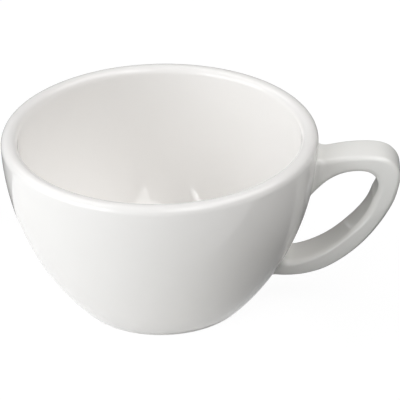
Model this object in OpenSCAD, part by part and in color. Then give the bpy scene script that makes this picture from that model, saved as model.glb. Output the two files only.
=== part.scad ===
/* [Bowl] */
// Outer diameter over the rim.
rim_d = 100; // [92:1:108]
// Height from the table to the top of the lip.
cup_h = 58.5; // [55:0.5:62]
// Thickness of the wall, which ends in a half-round lip.
wall_t = 5.2; // [4:0.1:5.6]
// Radius of the one arc that shapes the outer wall.
wall_arc_r = 85; // [76:1:100]
// Thickness of the floor in the middle.
floor_t = 5; // [4:0.1:6]
// Radius of the heel, where the inner wall turns into the floor.
heel_r = 16; // [12:1:20]

/* [Foot ring] */
// Outer diameter of the ring that the cup stands on.
foot_d = 56; // [50:1:64]
// How far the wall's lower edge stands out beyond the ring.
foot_step = 1; // [0.6:0.1:2]
// Width of the ring.
foot_w = 4.6; // [4:0.1:6]
// Height of the ring's outer side, below the wall.
foot_h = 1.6; // [1.2:0.1:2.4]
// Depth of the hollow inside the ring.
hollow_h = 3; // [2.4:0.1:3.6]
// Radius on the two lower edges of the ring.
foot_edge_r = 0.9; // [0.5:0.1:1]
// Radius of the corner at the top of the hollow.
hollow_edge_r = 1.2; // [0.8:0.1:1.4]

/* [Handle] */
// How far the handle stands out beyond the rim.
handle_reach = 26.1; // [22:0.1:30]
// How far below the top of the lip the handle's upper line starts.
handle_drop = 4.5; // [4.5:0.1:8]
// Height of the handle's underside above the table.
handle_base = 9.2; // [7:0.2:12]
// Depth of the handle, from its front face to its back face.
handle_depth = 11; // [9:0.5:13]
// Radius along the edges of the handle.
handle_edge_r = 1.9; // [1.4:0.1:2.1]
// Radius of the fillet that spreads the handle's faces onto the wall.
root_r = 3.5; // [2:0.5:5]

/* [Slip joints] */
// Thickness of the fired slip between the handle and the wall.
slip_t = 0.5; // [0.3:0.1:0.8]

/* [Part to show] */
// One named piece, or all of them.

/* [Hidden] */
glaze_white = [0.93, 0.92, 0.90];
handle_white = [0.88, 0.87, 0.85];
slip_white = [0.80, 0.78, 0.74];
round_steps = 96;      // sides that a full circle is drawn with
wall_steps = 24;       // sides along each long arc of the profile
lip_steps = 16;        // sides round the lip, and round the heel
edge_steps = 4;        // sides round a small edge

rim_r = rim_d / 2;
foot_r = foot_d / 2;
foot_in_r = foot_r - foot_w;
lip_r = wall_t / 2;
lip = [rim_r - lip_r, cup_h - lip_r];
wall_base = [foot_r + foot_step, foot_h];

// The wall lies between two arcs round one centre. The outer one starts at the wall's base,
// and the lip's circle touches both.
base_gap = norm(wall_base - lip);
base_dir = (wall_base - lip) / base_gap;
lip_reach = wall_arc_r - lip_r;
along = (pow(lip_reach, 2) - pow(wall_arc_r, 2) + pow(base_gap, 2)) / (2 * base_gap);
aside = sqrt(pow(lip_reach, 2) - pow(along, 2));
arc_centre = lip + along * base_dir + aside * [base_dir[1], -base_dir[0]];
lip_tilt = -asin((arc_centre[1] - lip[1]) / lip_reach);
foot_tilt = -asin((arc_centre[1] - foot_h) / wall_arc_r);

// The heel's circle touches the inner arc and the floor.
inner_arc_r = wall_arc_r - wall_t;
floor_z = hollow_h + floor_t;
heel_z = floor_z + heel_r;
heel_tilt = -asin((arc_centre[1] - heel_z) / (inner_arc_r - heel_r));
heel_x = arc_centre[0] + (inner_arc_r - heel_r) * cos(heel_tilt);

// The handle's outer and inner lines are walked as tangent arcs in a unit frame, from a start
// in the wall. Each leg has a radius and a turn in degrees to the left.
root_sink = 2.7;
outer_start_share = [0, 0];
outer_heading = -44;
outer_r_shares = [0.13, 1.01, 0.16, 0.88, 0.6, 0.62];
outer_turns = [57.5, -18, -95.5, -51.5, -31.5, -10.5];
inner_start_share = [-0.03, -0.33];
inner_heading = 34;
inner_r_shares = [0.61, 0.3, 0.1, 0.97, 0.67, 0.1];
inner_turns = [14, -55, -104, -20, -32, -110];
leg_steps = 8;

// How far the round wall falls back beside the handle, at the foot of the fillet.
half_depth = handle_depth / 2;
fall_back = rim_r - sqrt(pow(rim_r, 2) - pow(half_depth + root_r, 2));
joint_split_share = 0.45;
joint_split_z = cup_h * joint_split_share;

function arc(centre, r, from_a, to_a, steps) = [
    for (i = [0:steps])
        let (a = from_a + (to_a - from_a) * i / steps)
        centre + r * [cos(a), sin(a)]
];

// The wall's outer arc, grown outward by the thickness of a coat on it.
function wall_arc(coat) =
    arc(arc_centre, wall_arc_r + coat, foot_tilt, lip_tilt, wall_steps);

bowl_outline = concat(
    [[0, hollow_h]],
    arc([foot_in_r - hollow_edge_r, hollow_h - hollow_edge_r], hollow_edge_r, 90, 0, edge_steps),
    arc([foot_in_r + foot_edge_r, foot_edge_r], foot_edge_r, 180, 270, edge_steps),
    arc([foot_r - foot_edge_r, foot_edge_r], foot_edge_r, -90, 0, edge_steps),
    [[foot_r, foot_h]],
    wall_arc(0),
    arc(lip, lip_r, lip_tilt, lip_tilt + 180, lip_steps),
    arc(arc_centre, inner_arc_r, lip_tilt, heel_tilt, wall_steps),
    arc([heel_x, heel_z], heel_r, heel_tilt, -90, lip_steps),
    [[0, floor_z]]
);

// Points along one leg, each with its heading, after the point it starts from.
function leg(start, radius, turn) = [
    for (i = [1:leg_steps])
        let (r = radius * sign(turn), a = start[2] + turn * i / leg_steps)
        [start[0] + r * (sin(a) - sin(start[2])), start[1] - r * (cos(a) - cos(start[2])), a]
];

function walk(line, r_shares, turns, k = 0) =
    k == len(turns) ? line :
    walk(concat(line, leg(line[len(line) - 1], r_shares[k], turns[k])), r_shares, turns, k + 1);

unit_outer = walk([concat(outer_start_share, outer_heading)], outer_r_shares, outer_turns);
unit_inner = walk([concat(inner_start_share, inner_heading)], inner_r_shares, inner_turns);

// The unit frame is stretched to the handle's reach and to its height between drop and base.
x_scale = (handle_reach + root_sink) / max([for (p = unit_outer) p[0]]);
z_scale = (cup_h - handle_drop - handle_base) / -min([for (p = unit_outer) p[1]]);

// A line at its real size, with a straight run at each end to the radius of the foot's hollow.
function placed(unit_line) =
    let (line = [
        for (p = unit_line) [
            rim_r - root_sink + x_scale * p[0],
            cup_h - handle_drop + z_scale * p[1],
            atan2(z_scale * sin(p[2]), x_scale * cos(p[2]))
        ]
    ])
    let (first = line[0], last = line[len(line) - 1])
    concat([[foot_in_r, first[1], first[2]]], line, [[foot_in_r, last[1], last[2]]]);

outer_line = placed(unit_outer);
inner_line = placed(unit_inner);

// Half the handle's depth at a point of its outline: it flares where the wall is near.
function half_width(p) =
    let (near = norm([p[0], p[1]] - arc_centre) - wall_arc_r + fall_back)
    let (left = root_r - min(max(near, 0), root_r))
    half_depth + root_r - sqrt(pow(root_r, 2) - pow(left, 2));

// A rounded edge at a point of an outline, with the solid on the stated side of it.
function edge(p, solid_side, y_side, from_a, to_a) = [
    for (i = [0:edge_steps])
        let (a = from_a + (to_a - from_a) * i / edge_steps)
        let (inset = handle_edge_r * (1 - cos(a)) * solid_side)
        let (y = half_width(p) - handle_edge_r * (1 - sin(a)))
        [p[0] - inset * sin(p[2]), y_side * y, p[1] + inset * cos(p[2])]
];

function ring(k) = concat(
    edge(outer_line[k], -1, 1, 0, 90),
    edge(inner_line[k], 1, 1, 90, 0),
    edge(inner_line[k], 1, -1, 0, 90),
    edge(outer_line[k], -1, -1, 90, 0)
);

// The handle before it is seated: rings along the two lines, with both ends in the wall.
// The quads between rings are cut into triangles one way in front and the mirrored way behind.
module handle_blank() {
    rings = len(outer_line);
    sides = 4 * (edge_steps + 1);
    first = [for (j = [0:sides - 1]) j];
    last = [for (j = [0:sides - 1]) (rings - 1) * sides + sides - 1 - j];
    skin = [
        for (k = [0:rings - 2], j = [0:sides - 1])
            let (a = k * sides + j, b = k * sides + (j + 1) % sides, c = b + sides, d = a + sides)
            each j < sides / 2 ? [[a, b, d], [b, c, d]] : [[a, b, c], [a, c, d]]
    ];
    polyhedron(
        points = [for (k = [0:rings - 1]) each ring(k)],
        faces = concat([first, last], skin),
        convexity = 4
    );
}

module wall_solid(coat) {
    rotate_extrude($fn = round_steps)
        polygon(concat([[0, foot_h]], wall_arc(coat), [[0, lip[1]]]));
}

module bowl() {
    color(glaze_white) rotate_extrude($fn = round_steps) polygon(bowl_outline);
}

module handle() {
    color(handle_white) difference() {
        handle_blank();
        wall_solid(slip_t);
    }
}

// The film of slip under one root of the handle, which fills the space up to the wall.
module slip_joint(bottom_z, top_z) {
    color(slip_white) intersection() {
        handle_blank();
        difference() {
            wall_solid(slip_t);
            wall_solid(0);
        }
        translate([0, -rim_r, bottom_z]) cube([2 * rim_r, 2 * rim_r, top_z - bottom_z]);
    }
}

module upper_slip_joint() {
    slip_joint(joint_split_z, cup_h);
}

module lower_slip_joint() {
    slip_joint(0, joint_split_z);
}

bowl();
handle();
upper_slip_joint();
lower_slip_joint();
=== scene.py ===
# White glazed porcelain cappuccino cup: a thick rounded lip, a low foot ring and a looped handle.
import math
import bpy
import numpy as np
from mathutils import Matrix, Quaternion, Vector


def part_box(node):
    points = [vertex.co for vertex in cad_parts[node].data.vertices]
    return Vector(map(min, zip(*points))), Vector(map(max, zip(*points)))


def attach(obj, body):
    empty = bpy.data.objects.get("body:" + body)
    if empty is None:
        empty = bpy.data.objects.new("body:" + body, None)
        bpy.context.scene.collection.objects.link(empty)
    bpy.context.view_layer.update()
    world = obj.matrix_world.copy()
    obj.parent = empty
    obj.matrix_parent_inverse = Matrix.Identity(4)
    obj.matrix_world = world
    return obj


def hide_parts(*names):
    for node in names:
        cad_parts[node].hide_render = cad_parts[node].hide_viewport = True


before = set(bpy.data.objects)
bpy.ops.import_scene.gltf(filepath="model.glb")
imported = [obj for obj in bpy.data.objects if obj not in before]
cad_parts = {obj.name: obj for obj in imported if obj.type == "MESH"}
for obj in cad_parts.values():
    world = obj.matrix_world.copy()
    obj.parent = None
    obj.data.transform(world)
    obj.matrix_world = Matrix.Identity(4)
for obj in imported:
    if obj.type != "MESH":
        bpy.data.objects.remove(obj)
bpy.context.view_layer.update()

mm = 0.001
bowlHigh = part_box("bowl")[1]
handleLow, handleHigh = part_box("handle")
scene = bpy.context.scene


# Camera: a long lens about three quarters of a metre away, looking down into the cup.
cameraView = dict(
    azimuth=4.0,              # degrees, turned towards the handle's front
    elevation=29.33,
    distance=750 * mm,
    pivotHeight=35 * mm,      # the point on the cup's axis that the distance is measured from
    aimRight=12.4 * mm,       # the lens points this far right of the pivot
    aimDown=1.46 * mm,
    roll=0.83,                # degrees
    pixelsPerMm=3.13,         # at the pivot
    pictureWidth=400,         # pixels
    filmWidth=36,             # mm
    clipStart=20 * mm,
    clipEnd=20000 * mm,
)


def makeCamera():
    # The camera stands back from the pivot, points at the aim and is rolled about its own axis.
    v = cameraView
    az, el = math.radians(v["azimuth"]), math.radians(v["elevation"])
    back = Vector((math.sin(az) * math.cos(el), -math.cos(az) * math.cos(el), math.sin(el)))
    right0 = Vector((math.cos(az), math.sin(az), 0))
    up0 = right0.cross(-back)
    pivot = Vector((0, 0, v["pivotHeight"]))
    place = pivot + back * v["distance"]
    aim = pivot + right0 * v["aimRight"] - up0 * v["aimDown"]
    forward = (aim - place).normalized()
    right1 = forward.cross(Vector((0, 0, 1))).normalized()
    up1 = right1.cross(forward)
    turn = math.radians(v["roll"])
    right = right1 * math.cos(turn) - up1 * math.sin(turn)
    up = right1 * math.sin(turn) + up1 * math.cos(turn)
    data = bpy.data.cameras.new("camera")
    data.sensor_width = v["filmWidth"]
    data.lens = v["pixelsPerMm"] * v["distance"] / mm * v["filmWidth"] / v["pictureWidth"]
    data.clip_start, data.clip_end = v["clipStart"], v["clipEnd"]
    cam = bpy.data.objects.new("camera", data)
    axes = Matrix((right, up, -forward)).transposed().to_4x4()
    cam.matrix_world = Matrix.Translation(place) @ axes
    scene.collection.objects.link(cam)
    scene.camera = cam


# Mesh helpers.
def arc(centre, radius, fromAngle, toAngle, count):
    # Points on a circle round the centre, at even steps between two angles in degrees.
    a = np.radians(np.linspace(fromAngle, toAngle, count))
    return np.array(centre) + radius * np.column_stack([np.cos(a), np.sin(a)])


def signedVolume(points, faces):
    # Sum of the volumes between the origin and each triangle of each face.
    total = 0.0
    for a, b, c in ((0, 1, 2), (0, 2, 3)):
        pa, pb, pc = points[faces[:, a]], points[faces[:, b]], points[faces[:, c]]
        total += np.einsum("ij,ij->i", pa, np.cross(pb, pc)).sum() / 6
    return total


def meshPiece(name, points, quads, triangles=None):
    # Makes one smooth mesh and turns its faces outward.
    triangles = np.zeros((0, 3), int) if triangles is None else triangles
    padded = np.column_stack([triangles, triangles[:, :1]])
    if signedVolume(points, np.vstack([quads, padded])) < 0:
        quads, triangles = quads[:, ::-1], triangles[:, ::-1]
    mesh = bpy.data.meshes.new(name)
    mesh.from_pydata(points.tolist(), [], quads.tolist() + triangles.tolist())
    mesh.polygons.foreach_set("use_smooth", [True] * len(mesh.polygons))
    mesh.update()
    piece = bpy.data.objects.new(name, mesh)
    scene.collection.objects.link(piece)
    return piece


def tubeQuads(rows, around):
    # Quads between neighbouring rows of a grid whose columns close into a ring.
    k, j = np.meshgrid(np.arange(rows - 1), np.arange(around), indexing="ij")
    a, b = k * around + j, k * around + (j + 1) % around
    return np.stack([a, b, b + around, a + around], axis=-1).reshape(-1, 4)


def endFans(rows, around):
    # Triangles that close the first row round one more point, and the last row round the next one.
    j, count = np.arange(around), rows * around
    nextJ, lastRow = (j + 1) % around, count - around
    first = np.column_stack([np.full(around, count), nextJ, j])
    last = np.column_stack([np.full(around, count + 1), lastRow + j, lastRow + nextJ])
    return np.vstack([first, last])


# Bowl: one outline turned round the axis.
bowlForm = dict(
    wall=5.2 * mm,
    wallArc=85 * mm,          # radius of the outer wall's arc
    floor=5 * mm,
    heel=16 * mm,             # inner corner between wall and floor
    footRadius=28 * mm,
    footStep=1.0 * mm,        # the wall's lower edge stands out this far past the ring
    footWidth=4.6 * mm,
    footHeight=1.6 * mm,
    footEdge=0.9 * mm,
    hollow=3 * mm,
    hollowEdge=1.2 * mm,
    lipSquareness=0.04,       # how much the lip's two corners stand out beyond its half circle
    baseEdge=0.5 * mm,        # softened lower edge of the wall
    groove=0.4 * mm,          # glaze in the corner above the ring
    sides=288,                # round the axis
    flatSteps=24,             # points along the hollow and along the floor
    faceSteps=7,              # and across the standing face
    edgeSteps=9,              # round each edge of the ring
    creaseSteps=7,            # round the wall's lower edge and the groove
    wallSteps=90,
    lipSteps=48,
    innerSteps=60,
    heelSteps=30,
)


def wallFrame():
    # The outer wall's arc passes the base point and touches the lip's circle from outside.
    f = bowlForm
    lip = np.array([bowlHigh.x - f["wall"] / 2, bowlHigh.z - f["wall"] / 2])
    base = np.array([f["footRadius"] + f["footStep"], f["footHeight"]])
    gap = np.linalg.norm(base - lip)
    toBase = (base - lip) / gap
    reach = f["wallArc"] - f["wall"] / 2
    along = (reach ** 2 - f["wallArc"] ** 2 + gap ** 2) / (2 * gap)
    aside = math.sqrt(reach ** 2 - along ** 2)
    centre = lip + along * toBase + aside * np.array([toBase[1], -toBase[0]])
    tilt = -math.degrees(math.asin((centre[1] - lip[1]) / reach))
    return lip, centre, tilt


lipCentre, arcCentre, lipTilt = wallFrame()


def pointAtHeight(radius, height):
    # The point at a given height on a circle round the wall's centre, and its angle in degrees.
    angle = -math.degrees(math.asin((arcCentre[1] - height) / radius))
    return np.array([arcCentre[0] + radius * math.cos(math.radians(angle)), height]), angle


def lipArc():
    # Half a circle whose radius grows by the share squareness sin^2(2 a), which gives it two soft corners.
    a = np.linspace(0, np.pi, bowlForm["lipSteps"])
    radius = bowlForm["wall"] / 2 * (1 + bowlForm["lipSquareness"] * np.sin(2 * a) ** 2)
    turned = a + math.radians(lipTilt)
    return lipCentre + radius[:, None] * np.column_stack([np.cos(turned), np.sin(turned)])


def bowlOutline():
    # From the middle of the hollow, round the ring, up the wall, over the lip and down to the floor.
    f = bowlForm
    footOut, footIn = f["footRadius"], f["footRadius"] - f["footWidth"]
    edge, hollowEdge, groove, step = f["footEdge"], f["hollowEdge"], f["groove"], f["footHeight"]
    edgeSteps, creaseSteps = f["edgeSteps"], f["creaseSteps"]
    baseCentre, baseTilt = pointAtHeight(f["wallArc"] - f["baseEdge"], step + f["baseEdge"])
    innerArc = f["wallArc"] - f["wall"]
    floorHeight = f["hollow"] + f["floor"]
    heelCentre, heelTilt = pointAtHeight(innerArc - f["heel"], floorHeight + f["heel"])
    hollowRun = np.linspace(0, footIn - hollowEdge, f["flatSteps"])[:-1]
    floorRun = np.linspace(heelCentre[0], 0, f["flatSteps"])[1:]
    faceRun = np.linspace(footIn + edge, footOut - edge, f["faceSteps"])[1:-1]
    outline = np.vstack([
        np.column_stack([hollowRun, np.full(hollowRun.shape, f["hollow"])]),
        arc((footIn - hollowEdge, f["hollow"] - hollowEdge), hollowEdge, 90, 0, edgeSteps),
        arc((footIn + edge, edge), edge, 180, 270, edgeSteps),
        np.column_stack([faceRun, np.zeros(faceRun.shape)]),
        arc((footOut - edge, edge), edge, -90, 0, edgeSteps),
        arc((footOut + groove, step - groove), groove, 180, 90, creaseSteps),
        arc(baseCentre, f["baseEdge"], -90, baseTilt, creaseSteps),
        arc(arcCentre, f["wallArc"], baseTilt, lipTilt, f["wallSteps"])[1:],
        lipArc()[1:],
        arc(arcCentre, innerArc, lipTilt, heelTilt, f["innerSteps"])[1:],
        arc(heelCentre, f["heel"], heelTilt, -90, f["heelSteps"])[1:],
        np.column_stack([floorRun, np.full(floorRun.shape, floorHeight)]),
    ])
    # The softened lip is brought back to the solid's radius and height.
    return outline * (bowlHigh.x / outline[:, 0].max(), bowlHigh.z / outline[:, 1].max())


def makeBowl():
    # Each outline point (radius, height) becomes a ring; the two points on the axis are poles.
    outline = bowlOutline()
    rings, sides = outline[1:-1], bowlForm["sides"]
    angle = 2 * np.pi * np.arange(sides) / sides
    x = rings[:, :1] * np.cos(angle)
    y = rings[:, :1] * np.sin(angle)
    z = np.repeat(rings[:, 1:], sides, axis=1)
    points = np.stack([x, y, z], axis=-1).reshape(-1, 3)
    poles = [[0, 0, outline[0, 1]], [0, 0, outline[-1, 1]]]
    quads, fans = tubeQuads(len(rings), sides), endFans(len(rings), sides)
    return meshPiece("bowlBody", np.vstack([points, poles]), quads, fans)


# Handle: an outer and an inner line in its middle plane, with a soft rectangle carried between them.
handleForm = dict(
    rootSink=2.7 * mm,        # the lines start this deep in the wall
    drop=4.5 * mm,            # and the outer one this far below the lip's top
    depth=11 * mm,
    deeper=(1.2 * mm, 3.0 * mm),   # the photo shows this much more at the upper and the lower root
    thinner=0.56,             # and the lines draw in by this share of it, so the outline stays
    rootSpread=3.5 * mm,      # radius by which the faces spread onto the wall
    outerRadii=(0.13, 1.01, 0.16, 0.88, 0.6, 0.62),
    outerTurns=(57.5, -18, -95.5, -51.5, -31.5, -10.5),
    outerHeading=-44,
    innerStart=(-0.03, -0.33),
    innerRadii=(0.61, 0.3, 0.1, 0.97, 0.67, 0.1),
    innerTurns=(14, -55, -104, -20, -32, -110),
    innerHeading=34,
    outerEdge=1.5 * mm,       # radius along the two outer edges
    innerEdge=2.0 * mm,       # and along the two round the finger hole
    crown=0.2 * mm,           # how far each face bulges in its middle
    edgeSteps=10,
    faceSteps=8,
    legSteps=48,
    lineSoftness=6,           # steps over which the corners between the arcs are smoothed
    rows=300,
    crowding=0.65,            # how far the rows draw together at both ends
    seat=0.6 * mm,            # the ends lie this far under the wall's surface
)


def walkArcs(start, heading, radii, turns, steps):
    # Tangent arcs one after another: x adds r (sin a - sin a0) and z takes off r (cos a - cos a0).
    x, z, h = start[0], start[1], math.radians(heading)
    rows = [np.array([[x, z]])]
    share = np.arange(1, steps + 1) / steps
    for radius, turn in zip(radii, turns):
        r = math.copysign(radius, turn)
        a = h + math.radians(turn) * share
        leg = np.column_stack([x + r * (np.sin(a) - math.sin(h)), z - r * (np.cos(a) - math.cos(h))])
        rows.append(leg)
        x, z, h = leg[-1, 0], leg[-1, 1], a[-1]
    return np.vstack(rows)


def softened(line, spread):
    # Each point becomes the bell-weighted mean of its neighbours, with the ends carried on straight.
    reach = int(3 * spread)
    weights = np.exp(-0.5 * (np.arange(-reach, reach + 1) / spread) ** 2)
    weights /= weights.sum()
    before = line[0] + (line[0] - line[1]) * np.arange(reach, 0, -1)[:, None]
    after = line[-1] + (line[-1] - line[-2]) * np.arange(1, reach + 1)[:, None]
    longLine = np.vstack([before, line, after])
    return np.column_stack([np.convolve(longLine[:, i], weights, "valid") for i in (0, 1)])


def handleLines():
    # The two lines are drawn in a unit frame and stretched to the handle's reach and height.
    f = handleForm
    outer = walkArcs((0, 0), f["outerHeading"], f["outerRadii"], f["outerTurns"], f["legSteps"])
    inner = walkArcs(f["innerStart"], f["innerHeading"], f["innerRadii"], f["innerTurns"], f["legSteps"])
    outer, inner = softened(outer, f["lineSoftness"]), softened(inner, f["lineSoftness"])
    start = np.array([bowlHigh.x - f["rootSink"], bowlHigh.z - f["drop"]])
    xScale = (handleHigh.x - start[0]) / outer[:, 0].max()
    zScale = (start[1] - handleLow.z) / -outer[:, 1].min()
    return [start + line * (xScale, zScale) for line in (outer, inner)]


def wallDistance(points):
    # How far points lie outside the bowl's outer wall; negative is inside the porcelain.
    out = np.hypot(points[..., 0], points[..., 1]) - arcCentre[0]
    return np.hypot(out, points[..., 2] - arcCentre[1]) - bowlForm["wallArc"]


def flare(x, z):
    # Grows from 0 to 1 by a quarter circle where the wall is near.
    radius = handleForm["rootSpread"]
    halfRoot = handleForm["depth"] / 2 + radius
    fallBack = bowlHigh.x - math.sqrt(bowlHigh.x ** 2 - halfRoot ** 2)
    near = np.hypot(x - arcCentre[0], z - arcCentre[1]) - bowlForm["wallArc"] + fallBack
    left = 1 - np.clip(near / radius, 0, 1)
    return 1 - np.sqrt(1 - left ** 2)


def sectionRing():
    # Rows of (a, b, c, d): a point of the section lies at u = a h + b across and v = c w + d along y,
    # where h and w are half the thickness and half the depth. The corners are quarter circles.
    f = handleForm
    t = np.radians(np.linspace(0, 90, f["edgeSteps"]))
    one = np.ones(len(t))
    corners = []
    for out, back in ((1, 1), (1, -1), (-1, -1), (-1, 1)):
        edge = "outerEdge" if out > 0 else "innerEdge"
        bend = t[::-1] if out * back > 0 else t
        inset = f[edge] * np.column_stack([1 - np.cos(bend), 1 - np.sin(bend)])
        corners.append(np.column_stack([out * one, -out * inset[:, 0], back * one, -back * inset[:, 1]]))
    share = np.linspace(0, 1, f["faceSteps"] + 2)[1:-1, None]
    ring = []
    for corner, following in zip(corners, corners[1:] + corners[:1]):
        ring += [corner, corner[-1] + (following[0] - corner[-1]) * share]
    return np.vstack(ring)


def handleSkin():
    # The section ring is carried along the lines. Its half width is depth / 2 + extra away from the wall
    # and depth / 2 + rootSpread at it. Faces fall back by crown s^2 towards their edges, s being -1 to 1.
    f = handleForm
    outer, inner = handleLines()
    middle, half = (outer + inner) / 2, (outer - inner) / 2
    reach = np.linalg.norm(half, axis=1)[:, None]
    way = half / reach
    extra = np.linspace(f["deeper"][0] / 2, f["deeper"][1] / 2, len(middle))[:, None]
    reach = reach - f["thinner"] * extra * np.abs(way[:, 1:])
    a, b, c, d = sectionRing().T
    u = a * reach + b
    spread = flare(middle[:, :1] + way[:, :1] * u, middle[:, 1:] + way[:, 1:] * u)
    width = f["depth"] / 2 + extra + (f["rootSpread"] - extra) * spread
    v = c * width + d
    acrossShare, depthShare = u / reach, v / width
    u = u - f["crown"] * acrossShare * depthShare ** 2
    v = v - f["crown"] * depthShare * acrossShare ** 2
    return np.stack([middle[:, :1] + way[:, :1] * u, v, middle[:, 1:] + way[:, 1:] * u], axis=-1)


def sampleRows(skin, at):
    # Reads the skin between its rows: each column j at the row number at[:, j].
    low = np.clip(np.floor(at).astype(int), 0, len(skin) - 2)
    part = (at - low)[..., None]
    column = np.arange(skin.shape[1])
    return skin[low, column] * (1 - part) + skin[low + 1, column] * part


def rowAtDistance(skin, distance, fromEnd):
    # The row number, for each column, where the skin first rises to that distance off the wall.
    gap = wallDistance(skin) - distance
    gap = gap[::-1] if fromEnd else gap
    first = np.argmax(gap > 0, axis=0)
    column = np.arange(skin.shape[1])
    g1, g0 = gap[first, column], gap[first - 1, column]
    row = first - 1 + g0 / (g0 - g1)
    return len(skin) - 1 - row if fromEnd else row


def makeHandle(skin):
    # The skin is cut off under the wall's surface at both ends, and rows there lie closer together:
    # their shares are (1 - crowding) t + crowding (1 - cos pi t) / 2. Both ends are closed round a middle.
    f = handleForm
    start = rowAtDistance(skin, -f["seat"], False)
    end = rowAtDistance(skin, -f["seat"], True)
    even = np.linspace(0, 1, f["rows"])
    share = ((1 - f["crowding"]) * even + f["crowding"] * (1 - np.cos(np.pi * even)) / 2)[:, None]
    grid = sampleRows(skin, start + (end - start) * share)
    rows, around = grid.shape[:2]
    middles = [grid[0].mean(axis=0), grid[-1].mean(axis=0)]
    points = np.vstack([grid.reshape(-1, 3), middles])
    return meshPiece("handleLoop", points, tubeQuads(rows, around), endFans(rows, around))


# Slip joints: the smoothed bead of fired slip and glaze in the crease round each root.
beadForm = dict(
    width=0.35 * mm,          # how far it reaches up the handle and out over the wall
    under=0.25 * mm,          # its hidden back lies this far under the two surfaces
    steps=9,
    rowsAhead=2,              # the handle's direction is read this many rows on from the crease
)


def makeBead(name, skin, fromEnd):
    # Across the crease: a quadratic curve from the wall point to the handle point, bent by the crease.
    f = beadForm
    sign = -1 if fromEnd else 1
    seam = rowAtDistance(skin, 0, fromEnd)
    crease = sampleRows(skin, seam[None])[0]
    ahead = sampleRows(skin, (seam + sign * f["rowsAhead"])[None])[0]
    run = ahead - crease
    run /= np.linalg.norm(run, axis=1, keepdims=True)
    ringStep = np.roll(crease, -1, axis=0) - np.roll(crease, 1, axis=0)
    faceOut = np.cross(ringStep, run)
    faceOut *= np.sign(np.einsum("ij,ij->i", faceOut, crease - crease.mean(axis=0)))[:, None]
    faceOut /= np.linalg.norm(faceOut, axis=1, keepdims=True)
    flat = np.hypot(crease[:, 0], crease[:, 1])
    lean = np.column_stack([flat - arcCentre[0], crease[:, 2] - arcCentre[1]])
    lean /= np.linalg.norm(lean, axis=1, keepdims=True)
    wallOut = np.column_stack([crease[:, :2] * (lean[:, 0] / flat)[:, None], lean[:, 1]])
    away = faceOut - np.einsum("ij,ij->i", faceOut, wallOut)[:, None] * wallOut
    away /= np.linalg.norm(away, axis=1, keepdims=True)
    onWall = crease + f["width"] * away
    onHandle = crease + f["width"] * run
    t = np.linspace(0, 1, f["steps"])[:, None, None]
    curve = (1 - t) ** 2 * onWall + 2 * t * (1 - t) * crease + t ** 2 * onHandle
    underHandle = onHandle - f["under"] * faceOut
    underCrease = crease - f["under"] * (faceOut + wallOut)
    underWall = onWall - f["under"] * wallOut
    loop = np.vstack([curve, np.stack([underHandle, underCrease, underWall])])
    closed = np.vstack([loop, loop[:1]])
    around, rows = loop.shape[1], len(loop)
    quads = tubeQuads(rows + 1, around) % (rows * around)
    return meshPiece(name, closed[:-1].reshape(-1, 3), quads)


# Materials.
def srgb(text):
    # Hex text to linear red, green, blue and alpha: a channel c up to 0.04045 becomes c / 12.92, and a
    # higher one ((c + 0.055) / 1.055)^2.4.
    parts = [int(text[i:i + 2], 16) / 255 for i in (0, 2, 4)]
    return tuple(p / 12.92 if p <= 0.04045 else ((p + 0.055) / 1.055) ** 2.4 for p in parts) + (1.0,)


def add(tree, kind, inputs=None, **settings):
    # Adds one node with its settings, and fills or links its inputs.
    node = tree.nodes.new(kind)
    for key, value in settings.items():
        setattr(node, key, value)
    for key, value in (inputs or {}).items():
        if isinstance(value, bpy.types.NodeSocket):
            tree.links.new(value, node.inputs[key])
        else:
            node.inputs[key].default_value = value
    return node


glazeLook = dict(
    body="FCFAF8",            # hard-paste porcelain, fired nearly white
    handlePaintedShadeBody="F8F8F4",      # the handle's copy of the porcelain, a little greyer and greener: painted shade that darkens the handle against the bowl
    cloud="FAF8F5",           # where the glaze lies a little thicker
    bisque="E6DFD3",          # bare fired clay, ground on the standing face
    speck="8C7F70",           # iron speck under the glaze
    noises=dict(              # size in mm and detail
        cloud=(28, 2.0),      # slow change of tone
        wave=(11, 1.0),       # slow ripple of the glaze
        peel=(1.6, 1.0),      # fine orange peel
        grit=(0.5, 3.0),      # grain of the bare clay, drawn coarse enough to show
    ),
    waveHeight=0.012,         # mm
    peelHeight=0.0012,        # mm
    gritHeight=0.02,          # mm
    speckSpacing=17,          # mm
    speckSize=0.16,           # mm
    speckStrength=0.8,
    glossRange=(0.035, 0.07), # roughness where the glaze lies thin and where it lies thick
    bareRoughness=0.7,
    bareTo=0.18,              # mm above the table up to which the glaze is wiped off
    glazedFrom=0.30,          # mm above the table from which it is whole
    bareRagged=0.12,          # mm by which that edge wanders
    ior=1.5,
)


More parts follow.
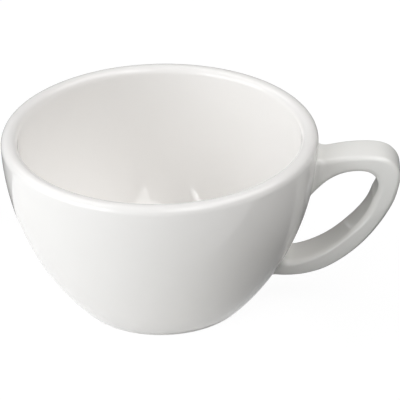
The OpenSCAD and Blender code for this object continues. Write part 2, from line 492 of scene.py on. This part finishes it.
def glazedPorcelain(name, body, bareFoot):
    # Porcelain under a clear dipped glaze: white and a little warm from below the surface, with sharp
    # reflections that ripple slightly where the glaze ran. The standing face is wiped bare and matt.
    look = glazeLook
    material = bpy.data.materials.new(name)
    material.use_nodes = True
    tree = material.node_tree
    tree.nodes.clear()
    out = add(tree, "ShaderNodeOutputMaterial")
    place = add(tree, "ShaderNodeTexCoord").outputs["Object"]
    noise = {}
    for layer, (size, detail) in look["noises"].items():
        if bareFoot or layer != "grit":
            inputs = {"Vector": place, "Scale": 1 / (size * mm), "Detail": detail}
            noise[layer] = add(tree, "ShaderNodeTexNoise", inputs).outputs["Fac"]
    inputs = {"Factor": noise["cloud"], "A": srgb(body), "B": srgb(look["cloud"])}
    tone = add(tree, "ShaderNodeMix", inputs, data_type="RGBA").outputs["Result"]
    # A speck is full within half its radius, and each cell of the pattern has one.
    inputs = {"Vector": place, "Scale": 1 / (look["speckSpacing"] * mm)}
    cells = add(tree, "ShaderNodeTexVoronoi", inputs).outputs["Distance"]
    edge = look["speckSize"] / look["speckSpacing"]
    inputs = {"Value": cells, "From Min": edge, "From Max": edge / 2, "To Max": look["speckStrength"]}
    speck = add(tree, "ShaderNodeMapRange", inputs).outputs["Result"]
    inputs = {"Factor": speck, "A": tone, "B": srgb(look["speck"])}
    tone = add(tree, "ShaderNodeMix", inputs, data_type="RGBA").outputs["Result"]
    inputs = {"Height": noise["wave"], "Distance": look["waveHeight"] * mm, "Strength": 1.0}
    slow = add(tree, "ShaderNodeBump", inputs).outputs["Normal"]
    inputs = {"Height": noise["peel"], "Distance": look["peelHeight"] * mm, "Strength": 1.0, "Normal": slow}
    normal = add(tree, "ShaderNodeBump", inputs).outputs["Normal"]
    low, high = look["glossRange"]
    inputs = {"Value": noise["cloud"], "To Min": low, "To Max": high}
    gloss = add(tree, "ShaderNodeMapRange", inputs).outputs["Result"]
    if bareFoot:
        # Bare clay is where the height, with the grit's raggedness on it, is under the glaze's edge.
        height = add(tree, "ShaderNodeSeparateXYZ", {"Vector": place}).outputs["Z"]
        inputs = {0: noise["grit"], 1: look["bareRagged"] * mm, 2: height}
        ragged = add(tree, "ShaderNodeMath", inputs, operation="MULTIPLY_ADD").outputs[0]
        inputs = {"Value": ragged, "From Min": look["glazedFrom"] * mm, "From Max": look["bareTo"] * mm}
        bare = add(tree, "ShaderNodeMapRange", inputs).outputs["Result"]
        inputs = {"Factor": bare, "A": tone, "B": srgb(look["bisque"])}
        tone = add(tree, "ShaderNodeMix", inputs, data_type="RGBA").outputs["Result"]
        inputs = {"Factor": bare, "A": gloss, "B": look["bareRoughness"]}
        gloss = add(tree, "ShaderNodeMix", inputs, data_type="FLOAT").outputs["Result"]
        inputs = {"Height": noise["grit"], "Distance": look["gritHeight"] * mm, "Normal": normal}
        inputs["Strength"] = bare
        normal = add(tree, "ShaderNodeBump", inputs).outputs["Normal"]
    inputs = {"Base Color": tone, "Roughness": gloss, "Normal": normal, "IOR": look["ior"]}
    shader = add(tree, "ShaderNodeBsdfPrincipled", inputs)
    tree.links.new(shader.outputs[0], out.inputs["Surface"])
    return material


# Set: a white floor that keeps a faint shadow, a white surround, dark cards and soft lamps.
stageForm = dict(
    floorSize=6.0,            # metres
    floorGlow=0.955,          # the floor's own white, where it is looked at
    shadeTone="595959",       # and its paper there, which takes a tenth of the light and a faint shadow
    surround="FFFFFF",
    bounceTone="DADAD8",      # what the floor throws back on the cup
    fillStrength=0.0,         # the surround's light on the cup
    lampDistance=1.3,         # metres, from a point on the axis at this height
    lampAim=30 * mm,
)
# Dark cards that no camera ray sees, which the glaze reflects. Corners are in mm. Three lie on the floor
# with one soft edge, at the handle's side and behind the cup, and one paler card fills the gap between
# them: these four are painted shadow, dark sheets where the cup's shadow falls on the floor, which darken
# the floor's reflections and the light it throws back. The others are dark flags that stand or hang round
# the lamps.
cards = dict(
    side=dict(low=(0, -65, 1), high=(1490, 40, 1), tone="606060", clearTo=8, fullFrom=68),
    shade=dict(low=(-400, 40, 1), high=(54, 1490, 1), tone="505050", clearTo=54, fullFrom=44),
    corner=dict(low=(80, 40, 1), high=(1490, 1490, 1), tone="505050", clearTo=80, fullFrom=95),
    gap=dict(low=(44, 40, 1), high=(95, 1490, 1), tone="A0A0A0"),
    ceiling=dict(low=(-6000, -6000, 2000), high=(6000, 6000, 2000), tone="1E1E1E"),
    back=dict(low=(-4000, 1500, 0), high=(4000, 1500, 2000), tone="808080"),
    right=dict(low=(1500, -200, 0), high=(1500, 1500, 2000), tone="1E1E1E"),
)
# Each lamp's azimuth and elevation are in degrees, its size in metres and its power in watts. The two
# glints are small bright panels that show in the glaze and add nothing else.
lamps = dict(
    window=dict(azimuth=-60, elevation=16, size=(1.4, 0.8), power=10.3, tint="F9FCFF"),
    backLeft=dict(azimuth=-110, elevation=55, size=(1.4, 1.0), power=5.4),
    front=dict(azimuth=-15, elevation=42, size=(1.4, 1.0), power=2.0),
    lowLeft=dict(azimuth=-28, elevation=12, size=(0.7, 0.6), power=1.3),
    lowFront=dict(azimuth=0, elevation=12, size=(1.0, 0.6), power=0.3),
    overhead=dict(azimuth=80, elevation=60, size=(1.4, 1.0), power=10.3),
    backRight=dict(azimuth=110, elevation=40, size=(1.4, 1.0), power=1.6),
    glintSquare=dict(azimuth=27, elevation=43.5, size=(0.56, 0.56), roll=25, power=3.2, glazeOnly=True),
    glintStrip=dict(azimuth=-45, elevation=32, size=(0.5, 0.08), roll=-25, power=0.65, glazeOnly=True),
)


def sheetObject(name, corners, finish):
    # A flat sheet of one face, with an empty node material named for its finish.
    mesh = bpy.data.meshes.new(name)
    mesh.from_pydata(corners, [], [[0, 1, 2, 3]])
    sheet = bpy.data.objects.new(name, mesh)
    scene.collection.objects.link(sheet)
    material = bpy.data.materials.new(finish)
    material.use_nodes = True
    material.node_tree.nodes.clear()
    mesh.materials.append(material)
    return sheet, material.node_tree


def seenDirectly(tree):
    # 1 for camera, glossy and transmission rays, else 0.
    ray = add(tree, "ShaderNodeLightPath")
    inputs = {0: ray.outputs["Is Camera Ray"], 1: ray.outputs["Is Glossy Ray"]}
    seen = add(tree, "ShaderNodeMath", inputs, operation="MAXIMUM")
    inputs = {0: seen.outputs[0], 1: ray.outputs["Is Transmission Ray"]}
    return add(tree, "ShaderNodeMath", inputs, operation="MAXIMUM").outputs[0]


def makeFloor():
    # White seamless paper: where it is looked at it glows white, and it throws plain light on the cup.
    # From below it is clear, so the underside can be looked at.
    half = stageForm["floorSize"] / 2
    corners = [(-half, -half, 0), (half, -half, 0), (half, half, 0), (-half, half, 0)]
    floor, tree = sheetObject("floor", corners, "paperSweep")
    out = add(tree, "ShaderNodeOutputMaterial")
    seen = seenDirectly(tree)
    glow = add(tree, "ShaderNodeMath", {0: seen, 1: stageForm["floorGlow"]}, operation="MULTIPLY")
    inputs = {"Factor": seen, "A": srgb(stageForm["bounceTone"]), "B": srgb(stageForm["shadeTone"])}
    tone = add(tree, "ShaderNodeMix", inputs, data_type="RGBA").outputs["Result"]
    paper = add(tree, "ShaderNodeBsdfDiffuse", {"Color": tone})
    inputs = {"Color": srgb(stageForm["surround"]), "Strength": glow.outputs[0]}
    white = add(tree, "ShaderNodeEmission", inputs)
    top = add(tree, "ShaderNodeAddShader", {0: paper.outputs[0], 1: white.outputs[0]})
    below = add(tree, "ShaderNodeNewGeometry").outputs["Backfacing"]
    clear = add(tree, "ShaderNodeBsdfTransparent")
    both = add(tree, "ShaderNodeMixShader", {0: below, 1: top.outputs[0], 2: clear.outputs[0]})
    tree.links.new(both.outputs[0], out.inputs["Surface"])


def makeCard(name):
    # A dark matt card between two corners: lying where both heights are equal, else standing. The cards on
    # the floor are painted shadow, the others dark felt flags. Its cover grows along X from clear to full,
    # and a card without a soft edge is full all over.
    card = cards[name]
    (x0, y0, z0), (x1, y1, z1) = card["low"], card["high"]
    lies = z0 == z1
    corners = [(x0, y0, z0), (x1, y0 if lies else y1, z0), (x1, y1, z1), (x0, y1 if lies else y0, z1)]
    sheet, tree = sheetObject(name, (np.array(corners) * mm).tolist(), "darkFlagAndPaintedShadow")
    out = add(tree, "ShaderNodeOutputMaterial")
    flagAndShadowSheet = add(tree, "ShaderNodeBsdfDiffuse", {"Color": srgb(card["tone"])})
    place = add(tree, "ShaderNodeTexCoord").outputs["Object"]
    across = add(tree, "ShaderNodeSeparateXYZ", {"Vector": place}).outputs["X"]
    clearTo, fullFrom = card.get("clearTo", x0 - 2), card.get("fullFrom", x0 - 1)
    inputs = {"Value": across, "From Min": clearTo * mm, "From Max": fullFrom * mm}
    cover = add(tree, "ShaderNodeMapRange", inputs, interpolation_type="SMOOTHSTEP").outputs["Result"]
    clear = add(tree, "ShaderNodeBsdfTransparent")
    sheer = add(tree, "ShaderNodeMixShader", {0: cover, 1: clear.outputs[0], 2: flagAndShadowSheet.outputs[0]})
    tree.links.new(sheer.outputs[0], out.inputs["Surface"])
    sheet.visible_camera = sheet.visible_shadow = False


def makeWorld():
    # Pure white where it is seen or reflected, and dark as a light.
    world = bpy.data.worlds.new("surround")
    scene.world = world
    world.use_nodes = True
    tree = world.node_tree
    tree.nodes.clear()
    out = add(tree, "ShaderNodeOutputWorld")
    inputs = {"Value": seenDirectly(tree), "To Min": stageForm["fillStrength"], "To Max": 1.0}
    level = add(tree, "ShaderNodeMapRange", inputs)
    inputs = {"Color": srgb(stageForm["surround"]), "Strength": level.outputs["Result"]}
    light = add(tree, "ShaderNodeBackground", inputs)
    tree.links.new(light.outputs[0], out.inputs["Surface"])


def makeLamp(name):
    # A flat lamp that looks at the aim from its azimuth and elevation, rolled about its own axis.
    f = lamps[name]
    az, el = math.radians(f["azimuth"]), math.radians(f["elevation"])
    way = Vector((math.sin(az) * math.cos(el), -math.cos(az) * math.cos(el), math.sin(el)))
    data = bpy.data.lights.new(name, "AREA")
    data.shape = "RECTANGLE"
    data.size, data.size_y = f["size"]
    data.energy = f["power"]
    data.color = srgb(f.get("tint", "FFFFFF"))[:3]
    lamp = bpy.data.objects.new(name, data)
    lamp.location = way * stageForm["lampDistance"] + Vector((0, 0, stageForm["lampAim"]))
    turn = Quaternion((0, 0, 1), math.radians(f.get("roll", 0)))
    lamp.rotation_euler = (way.to_track_quat("Z", "Y") @ turn).to_euler()
    lamp.visible_diffuse = not f.get("glazeOnly", False)
    scene.collection.objects.link(lamp)


makeCamera()
print("camera made")

skin = handleSkin()
parts = {
    "bowl": makeBowl(),
    "handle": makeHandle(skin),
    "upper_slip_joint": makeBead("upperSlipBead", skin, False),
    "lower_slip_joint": makeBead("lowerSlipBead", skin, True),
}
print("bowl, handle and slip beads made")

finishes = {
    "bowl": glazedPorcelain("dippedGlazePorcelain", glazeLook["body"], True),
    # The handle and its slip beads get a greyer, greener copy of the bowl's porcelain: painted shade.
    "handle": glazedPorcelain("castHandleGlazePaintedShade", glazeLook["handlePaintedShadeBody"], False),
}
finishes["upper_slip_joint"] = finishes["lower_slip_joint"] = finishes["handle"]
for node, piece in parts.items():
    piece.data.materials.append(finishes[node])
    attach(piece, "root")
    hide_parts(node)
print("materials set")

makeFloor()
for cardName in cards:
    makeCard(cardName)
makeWorld()
for lampName in lamps:
    makeLamp(lampName)
scene.view_settings.view_transform = "Standard"
print("floor, surround and lamps set")
